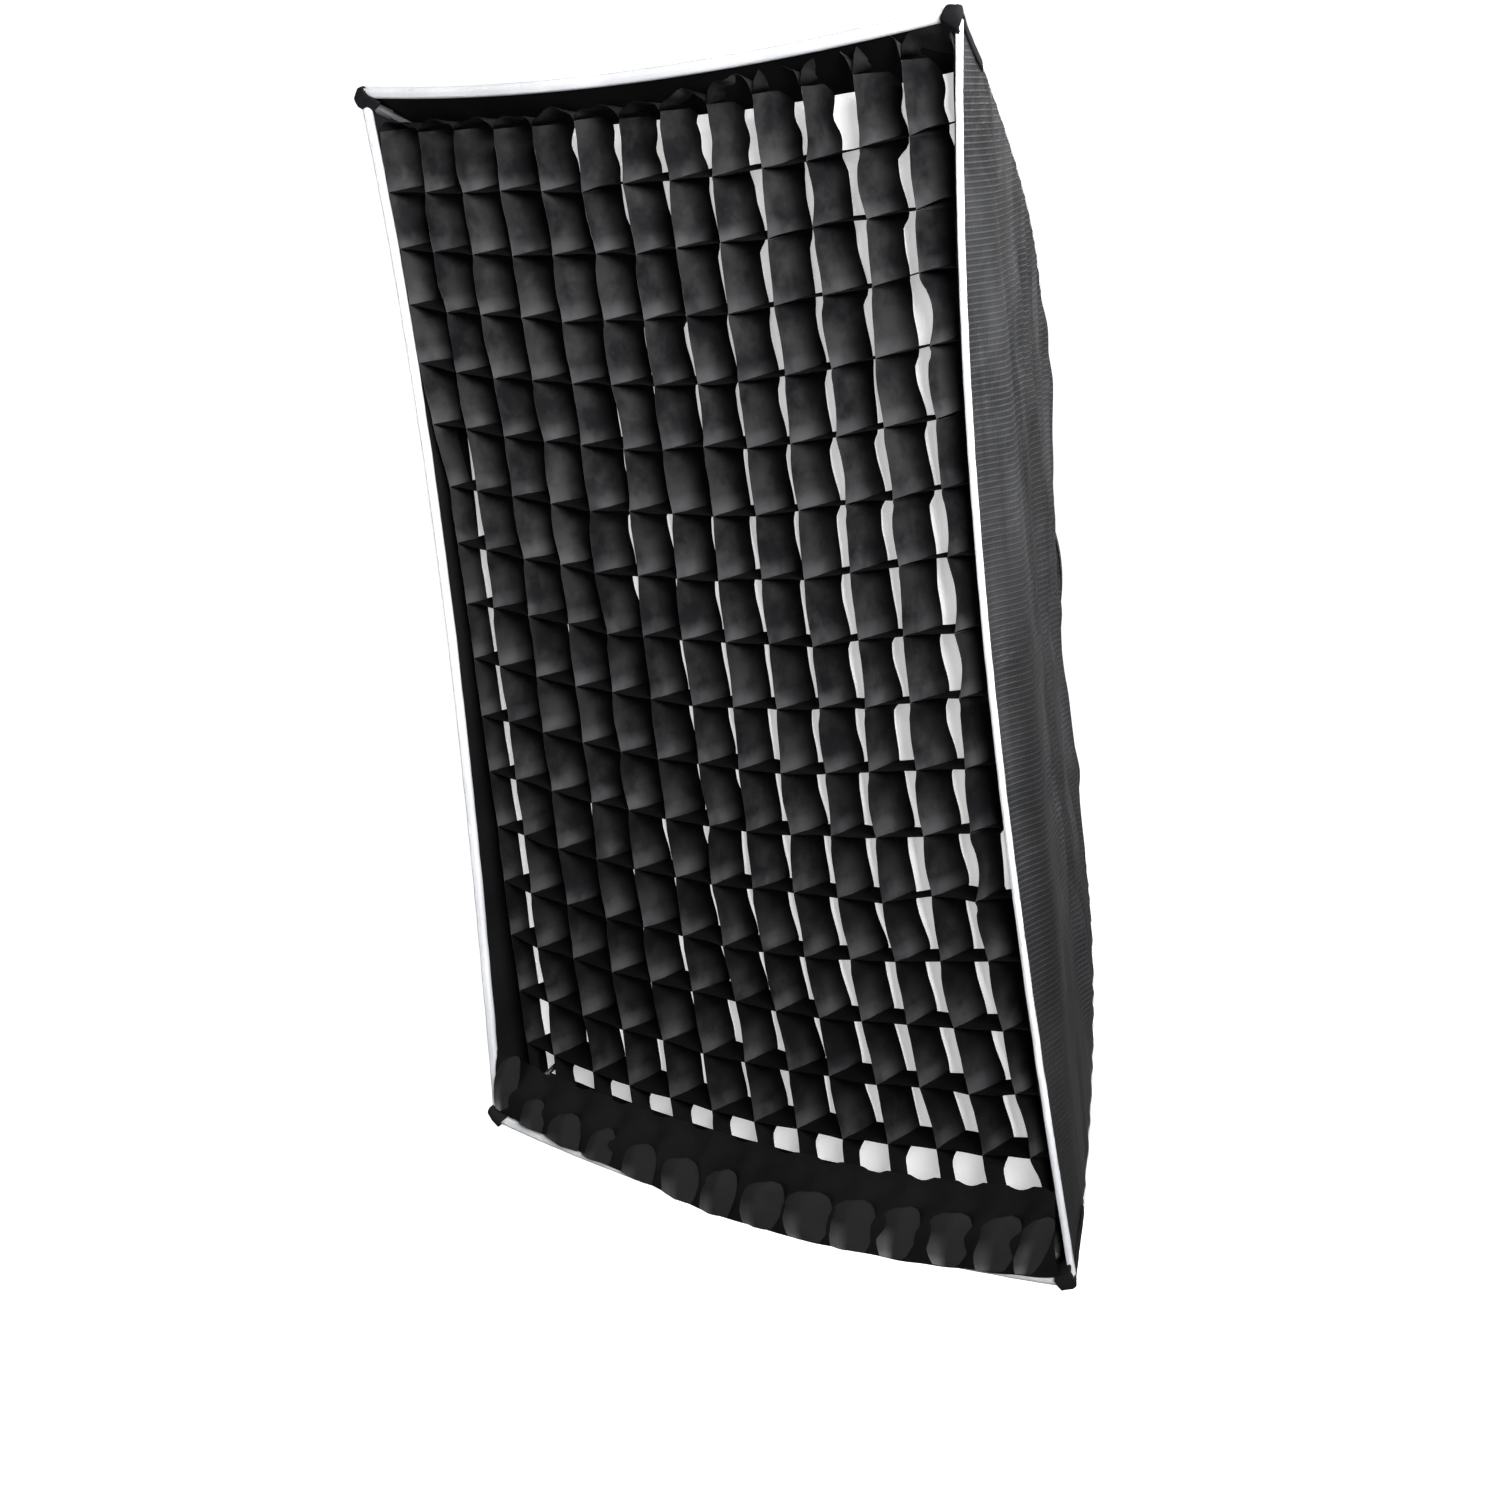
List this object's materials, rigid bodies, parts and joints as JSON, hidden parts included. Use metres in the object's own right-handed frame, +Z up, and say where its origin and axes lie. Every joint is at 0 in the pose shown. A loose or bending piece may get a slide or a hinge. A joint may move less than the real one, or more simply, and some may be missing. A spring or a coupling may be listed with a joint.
{
  "type": "softbox",
  "caption": "Folding rectangular softbox with fabric shell, bowed rods on a hinged speed ring, diffusers and an egg-crate grid.",
  "frame": {"origin": "centre of the bayonet collar at its rearmost plane, where the softbox seats on the light", "axes": "+Y along the bayonet axis, back towards the light; +Z up along the long side; the lit face looks towards -Y"},
  "size_m": [0.6038, 0.3864, 0.9038],
  "materials": {
    "shell_fabric": "black ripstop nylon, slight sheen",
    "white_binding": "light grey-white woven binding tape",
    "grid_fabric": "black satin polyester",
    "diffuser_fabric": "white translucent nylon",
    "black_webbing": "matt black webbing and hook-and-loop tape",
    "hub_plastic": "black glass-filled nylon",
    "button_plastic": "red moulded plastic",
    "bright_aluminium": "machined and anodised",
    "steel": "zinc-plated",
    "rod_steel": "black-coated spring steel rod"
  },
  "bodies": {
    "bayonet": {"bayonet_ring": "bright_aluminium", "retaining_ring": "bright_aluminium", "friction_washer": "hub_plastic", "retaining_screw_1": "steel", "retaining_screw_2": "steel", "retaining_screw_3": "steel"},
    "hub": {"hub_housing": "hub_plastic", "neck_collar": "black_webbing", "lock_lever_screw": "steel", "hinge_pin_top_right": "steel", "hinge_pin_top_left": "steel", "hinge_pin_bottom_left": "steel", "hinge_pin_bottom_right": "steel", "button_spring_top_right": "steel", "button_spring_top_left": "steel", "button_spring_bottom_left": "steel", "button_spring_bottom_right": "steel", "shell_panel_right": "shell_fabric", "shell_panel_top": "shell_fabric", "shell_panel_left": "shell_fabric", "shell_panel_bottom": "shell_fabric", "rim_binding_right": "white_binding", "rim_binding_top": "white_binding", "rim_binding_left": "white_binding", "rim_binding_bottom": "white_binding", "loop_tape_right": "black_webbing", "loop_tape_top": "black_webbing", "loop_tape_left": "black_webbing", "loop_tape_bottom": "black_webbing", "baffle_strap_top_right": "black_webbing", "baffle_strap_top_left": "black_webbing", "baffle_strap_bottom_left": "black_webbing", "baffle_strap_bottom_right": "black_webbing", "inner_baffle": "diffuser_fabric", "front_diffuser": "diffuser_fabric", "egg_crate_grid": "grid_fabric"},
    "lock_lever": {"lock_lever": "bright_aluminium"},
    "rod_top_right": {"rod_holder_top_right": "hub_plastic", "rod_top_right": "rod_steel", "rod_tip_top_right": "hub_plastic", "corner_pocket_top_right": "black_webbing"},
    "rod_top_left": {"rod_holder_top_left": "hub_plastic", "rod_top_left": "rod_steel", "rod_tip_top_left": "hub_plastic", "corner_pocket_top_left": "black_webbing"},
    "rod_bottom_left": {"rod_holder_bottom_left": "hub_plastic", "rod_bottom_left": "rod_steel", "rod_tip_bottom_left": "hub_plastic", "corner_pocket_bottom_left": "black_webbing"},
    "rod_bottom_right": {"rod_holder_bottom_right": "hub_plastic", "rod_bottom_right": "rod_steel", "rod_tip_bottom_right": "hub_plastic", "corner_pocket_bottom_right": "black_webbing"},
    "button_top_right": {"release_button_top_right": "button_plastic"},
    "button_top_left": {"release_button_top_left": "button_plastic"},
    "button_bottom_left": {"release_button_bottom_left": "button_plastic"},
    "button_bottom_right": {"release_button_bottom_right": "button_plastic"}
  },
  "joints": [
    {"name": "hub_rotation", "type": "hinge", "parent": "bayonet", "child": "hub", "pos_m": [0, -0.037, 0], "axis": [0, 1, 0], "continuous": true},
    {"name": "fold_top_right", "type": "hinge", "parent": "hub", "child": "rod_top_right", "pos_m": [0.03938, -0.0435, 0.05908], "axis": [0.8321, 0, -0.5547], "range_deg": [0, 50], "deforming": ["shell_panel_right", "shell_panel_top", "shell_panel_left", "shell_panel_bottom", "rim_binding_right", "rim_binding_top", "rim_binding_left", "rim_binding_bottom", "loop_tape_right", "loop_tape_top", "loop_tape_left", "loop_tape_bottom", "baffle_strap_top_right", "baffle_strap_top_left", "baffle_strap_bottom_left", "baffle_strap_bottom_right", "inner_baffle", "front_diffuser", "egg_crate_grid"]},
    {"name": "fold_top_left", "type": "hinge", "parent": "hub", "child": "rod_top_left", "pos_m": [-0.03938, -0.0435, 0.05908], "axis": [0.8321, 0, 0.5547], "range_deg": [0, 50], "deforming": ["shell_panel_right", "shell_panel_top", "shell_panel_left", "shell_panel_bottom", "rim_binding_right", "rim_binding_top", "rim_binding_left", "rim_binding_bottom", "loop_tape_right", "loop_tape_top", "loop_tape_left", "loop_tape_bottom", "baffle_strap_top_right", "baffle_strap_top_left", "baffle_strap_bottom_left", "baffle_strap_bottom_right", "inner_baffle", "front_diffuser", "egg_crate_grid"]},
    {"name": "fold_bottom_left", "type": "hinge", "parent": "hub", "child": "rod_bottom_left", "pos_m": [-0.03938, -0.0435, -0.05908], "axis": [-0.8321, 0, 0.5547], "range_deg": [0, 50], "deforming": ["shell_panel_right", "shell_panel_top", "shell_panel_left", "shell_panel_bottom", "rim_binding_right", "rim_binding_top", "rim_binding_left", "rim_binding_bottom", "loop_tape_right", "loop_tape_top", "loop_tape_left", "loop_tape_bottom", "baffle_strap_top_right", "baffle_strap_top_left", "baffle_strap_bottom_left", "baffle_strap_bottom_right", "inner_baffle", "front_diffuser", "egg_crate_grid"]},
    {"name": "fold_bottom_right", "type": "hinge", "parent": "hub", "child": "rod_bottom_right", "pos_m": [0.03938, -0.0435, -0.05908], "axis": [-0.8321, 0, -0.5547], "range_deg": [0, 50], "deforming": ["shell_panel_right", "shell_panel_top", "shell_panel_left", "shell_panel_bottom", "rim_binding_right", "rim_binding_top", "rim_binding_left", "rim_binding_bottom", "loop_tape_right", "loop_tape_top", "loop_tape_left", "loop_tape_bottom", "baffle_strap_top_right", "baffle_strap_top_left", "baffle_strap_bottom_left", "baffle_strap_bottom_right", "inner_baffle", "front_diffuser", "egg_crate_grid"]},
    {"name": "press_top_right", "type": "slide", "parent": "hub", "child": "button_top_right", "axis": [0, -1, 0], "range_m": [0, 0.003], "stiffness_N_per_m": 800, "springref_m": -0.002, "deforming": ["button_spring_top_right"]},
    {"name": "press_top_left", "type": "slide", "parent": "hub", "child": "button_top_left", "axis": [0, -1, 0], "range_m": [0, 0.003], "stiffness_N_per_m": 800, "springref_m": -0.002, "deforming": ["button_spring_top_left"]},
    {"name": "press_bottom_left", "type": "slide", "parent": "hub", "child": "button_bottom_left", "axis": [0, -1, 0], "range_m": [0, 0.003], "stiffness_N_per_m": 800, "springref_m": -0.002, "deforming": ["button_spring_bottom_left"]},
    {"name": "press_bottom_right", "type": "slide", "parent": "hub", "child": "button_bottom_right", "axis": [0, -1, 0], "range_m": [0, 0.003], "stiffness_N_per_m": 800, "springref_m": -0.002, "deforming": ["button_spring_bottom_right"]},
    {"name": "lock_lever_turn", "type": "hinge", "parent": "hub", "child": "lock_lever", "pos_m": [0.073, -0.018, 0], "axis": [0, 1, 0], "range_deg": [0, 90]}
  ]
}
